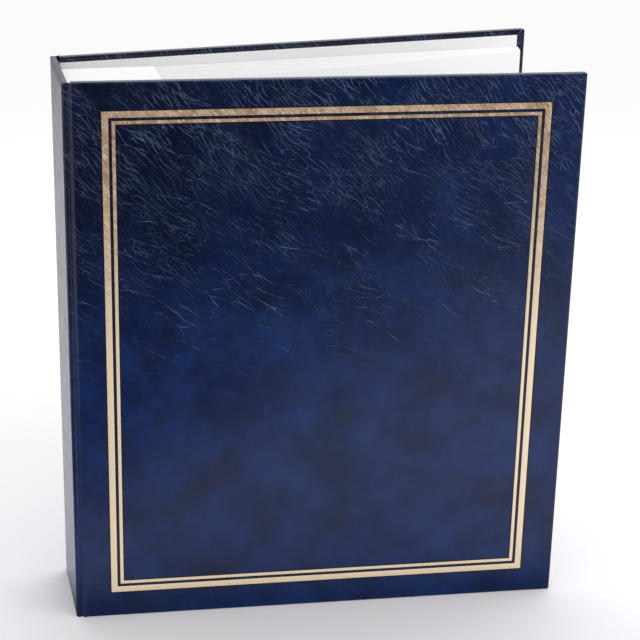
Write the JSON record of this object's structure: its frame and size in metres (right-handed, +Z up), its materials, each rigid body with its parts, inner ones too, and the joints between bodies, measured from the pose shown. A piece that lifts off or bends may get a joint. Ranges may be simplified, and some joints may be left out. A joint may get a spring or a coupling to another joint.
{
  "type": "photo album",
  "caption": "Post-bound photo album: padded blue leatherette boards with a gold double-line frame, square spine, white leaves on guards, both covers ajar.",
  "frame": {"origin": "middle of the album's outline on the surface it stands on, with both covers ajar", "axes": "+Z up along the spine, +X from the spine to the fore-edge, +Y from the front cover to the back cover"},
  "size_m": [0.2834, 0.1092, 0.32],
  "materials": {
    "blue_leatherette": "satin",
    "greyboard": "matte",
    "foam": "matte",
    "white_paper": "matte",
    "white_card": "matte",
    "leaf_card": "matte",
    "gold_foil": "satin",
    "brass": "polished"
  },
  "bodies": {
    "spine_and_binding": {"spine_board": "greyboard", "spine_leatherette": "blue_leatherette", "spine_lining": "white_paper", "front_joint": "blue_leatherette", "back_joint": "blue_leatherette", "front_flange": "white_card", "back_flange": "white_card", "guard_strips": "white_card", "leaf_stubs": "leaf_card", "binding_posts": "brass", "binding_screws": "brass"},
    "front_cover": {"front_board": "greyboard", "front_padding": "foam", "front_leatherette": "blue_leatherette", "front_pastedown": "white_paper", "gold_thick_line": "gold_foil", "gold_thin_line": "gold_foil"},
    "back_cover": {"back_board": "greyboard", "back_padding": "foam", "back_leatherette": "blue_leatherette", "back_pastedown": "white_paper"},
    "leaf_01": {"leaf_01": "leaf_card"},
    "leaf_02": {"leaf_02": "leaf_card"},
    "leaf_03": {"leaf_03": "leaf_card"},
    "leaf_04": {"leaf_04": "leaf_card"},
    "leaf_05": {"leaf_05": "leaf_card"},
    "leaf_06": {"leaf_06": "leaf_card"},
    "leaf_07": {"leaf_07": "leaf_card"},
    "leaf_08": {"leaf_08": "leaf_card"},
    "leaf_09": {"leaf_09": "leaf_card"},
    "leaf_10": {"leaf_10": "leaf_card"},
    "leaf_11": {"leaf_11": "leaf_card"},
    "leaf_12": {"leaf_12": "leaf_card"},
    "leaf_13": {"leaf_13": "leaf_card"},
    "leaf_14": {"leaf_14": "leaf_card"},
    "leaf_15": {"leaf_15": "leaf_card"},
    "leaf_16": {"leaf_16": "leaf_card"},
    "leaf_17": {"leaf_17": "leaf_card"},
    "leaf_18": {"leaf_18": "leaf_card"},
    "leaf_19": {"leaf_19": "leaf_card"},
    "leaf_20": {"leaf_20": "leaf_card"}
  },
  "joints": [
    {"name": "front_cover_hinge", "type": "hinge", "parent": "spine_and_binding", "child": "front_cover", "pos_m": [-0.13999, -0.03096, 0.16], "axis": [0, 0, -1], "range_deg": [-4.3, 175.7], "deforming": ["front_joint"]},
    {"name": "back_cover_hinge", "type": "hinge", "parent": "spine_and_binding", "child": "back_cover", "pos_m": [-0.13999, 0.02364, 0.16], "axis": [0, 0, 1], "range_deg": [-5.8, 174.2], "deforming": ["back_joint"]},
    {"name": "leaf_01_crease", "type": "hinge", "parent": "spine_and_binding", "child": "leaf_01", "pos_m": [-0.08562, -0.02398, 0.16], "axis": [0, 0, 1], "range_deg": [-1.53, 45.31]},
    {"name": "leaf_02_crease", "type": "hinge", "parent": "spine_and_binding", "child": "leaf_02", "pos_m": [-0.08562, -0.02213, 0.16], "axis": [0, 0, 1], "range_deg": [-1.56, 46.41]},
    {"name": "leaf_03_crease", "type": "hinge", "parent": "spine_and_binding", "child": "leaf_03", "pos_m": [-0.08562, -0.02028, 0.16], "axis": [0, 0, 1], "range_deg": [-1.6, 47.51]},
    {"name": "leaf_04_crease", "type": "hinge", "parent": "spine_and_binding", "child": "leaf_04", "pos_m": [-0.08562, -0.01843, 0.16], "axis": [0, 0, 1], "range_deg": [-1.64, 48.61]},
    {"name": "leaf_05_crease", "type": "hinge", "parent": "spine_and_binding", "child": "leaf_05", "pos_m": [-0.08562, -0.01658, 0.16], "axis": [0, 0, 1], "range_deg": [-1.68, 49.71]},
    {"name": "leaf_06_crease", "type": "hinge", "parent": "spine_and_binding", "child": "leaf_06", "pos_m": [-0.08562, -0.01473, 0.16], "axis": [0, 0, 1], "range_deg": [-1.71, 50.81]},
    {"name": "leaf_07_crease", "type": "hinge", "parent": "spine_and_binding", "child": "leaf_07", "pos_m": [-0.08562, -0.01288, 0.16], "axis": [0, 0, 1], "range_deg": [-1.75, 51.91]},
    {"name": "leaf_08_crease", "type": "hinge", "parent": "spine_and_binding", "child": "leaf_08", "pos_m": [-0.08562, -0.01103, 0.16], "axis": [0, 0, 1], "range_deg": [-1.78, 53.01]},
    {"name": "leaf_09_crease", "type": "hinge", "parent": "spine_and_binding", "child": "leaf_09", "pos_m": [-0.08562, -0.00918, 0.16], "axis": [0, 0, 1], "range_deg": [-1.82, 54.11]},
    {"name": "leaf_10_crease", "type": "hinge", "parent": "spine_and_binding", "child": "leaf_10", "pos_m": [-0.08562, -0.00733, 0.16], "axis": [0, 0, 1], "range_deg": [-1.86, 55.21]},
    {"name": "leaf_11_crease", "type": "hinge", "parent": "spine_and_binding", "child": "leaf_11", "pos_m": [-0.08562, -0.00548, 0.16], "axis": [0, 0, 1], "range_deg": [-1.89, 56.31]},
    {"name": "leaf_12_crease", "type": "hinge", "parent": "spine_and_binding", "child": "leaf_12", "pos_m": [-0.08562, -0.00363, 0.16], "axis": [0, 0, 1], "range_deg": [-1.93, 57.41]},
    {"name": "leaf_13_crease", "type": "hinge", "parent": "spine_and_binding", "child": "leaf_13", "pos_m": [-0.08562, -0.00178, 0.16], "axis": [0, 0, 1], "range_deg": [-1.97, 58.52]},
    {"name": "leaf_14_crease", "type": "hinge", "parent": "spine_and_binding", "child": "leaf_14", "pos_m": [-0.08562, 0.00007, 0.16], "axis": [0, 0, 1], "range_deg": [-2, 59.62]},
    {"name": "leaf_15_crease", "type": "hinge", "parent": "spine_and_binding", "child": "leaf_15", "pos_m": [-0.08562, 0.00192, 0.16], "axis": [0, 0, 1], "range_deg": [-2.04, 60.72]},
    {"name": "leaf_16_crease", "type": "hinge", "parent": "spine_and_binding", "child": "leaf_16", "pos_m": [-0.08562, 0.00377, 0.16], "axis": [0, 0, 1], "range_deg": [-2.08, 61.82]},
    {"name": "leaf_17_crease", "type": "hinge", "parent": "spine_and_binding", "child": "leaf_17", "pos_m": [-0.08562, 0.00562, 0.16], "axis": [0, 0, 1], "range_deg": [-2.11, 62.91]},
    {"name": "leaf_18_crease", "type": "hinge", "parent": "spine_and_binding", "child": "leaf_18", "pos_m": [-0.08562, 0.00747, 0.16], "axis": [0, 0, 1], "range_deg": [-2.15, 64.02]},
    {"name": "leaf_19_crease", "type": "hinge", "parent": "spine_and_binding", "child": "leaf_19", "pos_m": [-0.08562, 0.00932, 0.16], "axis": [0, 0, 1], "range_deg": [-2.19, 65.11]},
    {"name": "leaf_20_crease", "type": "hinge", "parent": "spine_and_binding", "child": "leaf_20", "pos_m": [-0.08562, 0.01117, 0.16], "axis": [0, 0, 1], "range_deg": [-2.22, 66.22]}
  ],
  "couplings": [
    {"joint": "leaf_01_crease", "follows": "back_cover_hinge", "ratio": 0.26},
    {"joint": "leaf_02_crease", "follows": "back_cover_hinge", "ratio": 0.26632},
    {"joint": "leaf_03_crease", "follows": "back_cover_hinge", "ratio": 0.27263},
    {"joint": "leaf_04_crease", "follows": "back_cover_hinge", "ratio": 0.27895},
    {"joint": "leaf_05_crease", "follows": "back_cover_hinge", "ratio": 0.28526},
    {"joint": "leaf_06_crease", "follows": "back_cover_hinge", "ratio": 0.29158},
    {"joint": "leaf_07_crease", "follows": "back_cover_hinge", "ratio": 0.29789},
    {"joint": "leaf_08_crease", "follows": "back_cover_hinge", "ratio": 0.30421},
    {"joint": "leaf_09_crease", "follows": "back_cover_hinge", "ratio": 0.31053},
    {"joint": "leaf_10_crease", "follows": "back_cover_hinge", "ratio": 0.31684},
    {"joint": "leaf_11_crease", "follows": "back_cover_hinge", "ratio": 0.32316},
    {"joint": "leaf_12_crease", "follows": "back_cover_hinge", "ratio": 0.32947},
    {"joint": "leaf_13_crease", "follows": "back_cover_hinge", "ratio": 0.33579},
    {"joint": "leaf_14_crease", "follows": "back_cover_hinge", "ratio": 0.34211},
    {"joint": "leaf_15_crease", "follows": "back_cover_hinge", "ratio": 0.34842},
    {"joint": "leaf_16_crease", "follows": "back_cover_hinge", "ratio": 0.35474},
    {"joint": "leaf_17_crease", "follows": "back_cover_hinge", "ratio": 0.36105},
    {"joint": "leaf_18_crease", "follows": "back_cover_hinge", "ratio": 0.36737},
    {"joint": "leaf_19_crease", "follows": "back_cover_hinge", "ratio": 0.37368},
    {"joint": "leaf_20_crease", "follows": "back_cover_hinge", "ratio": 0.38}
  ]
}
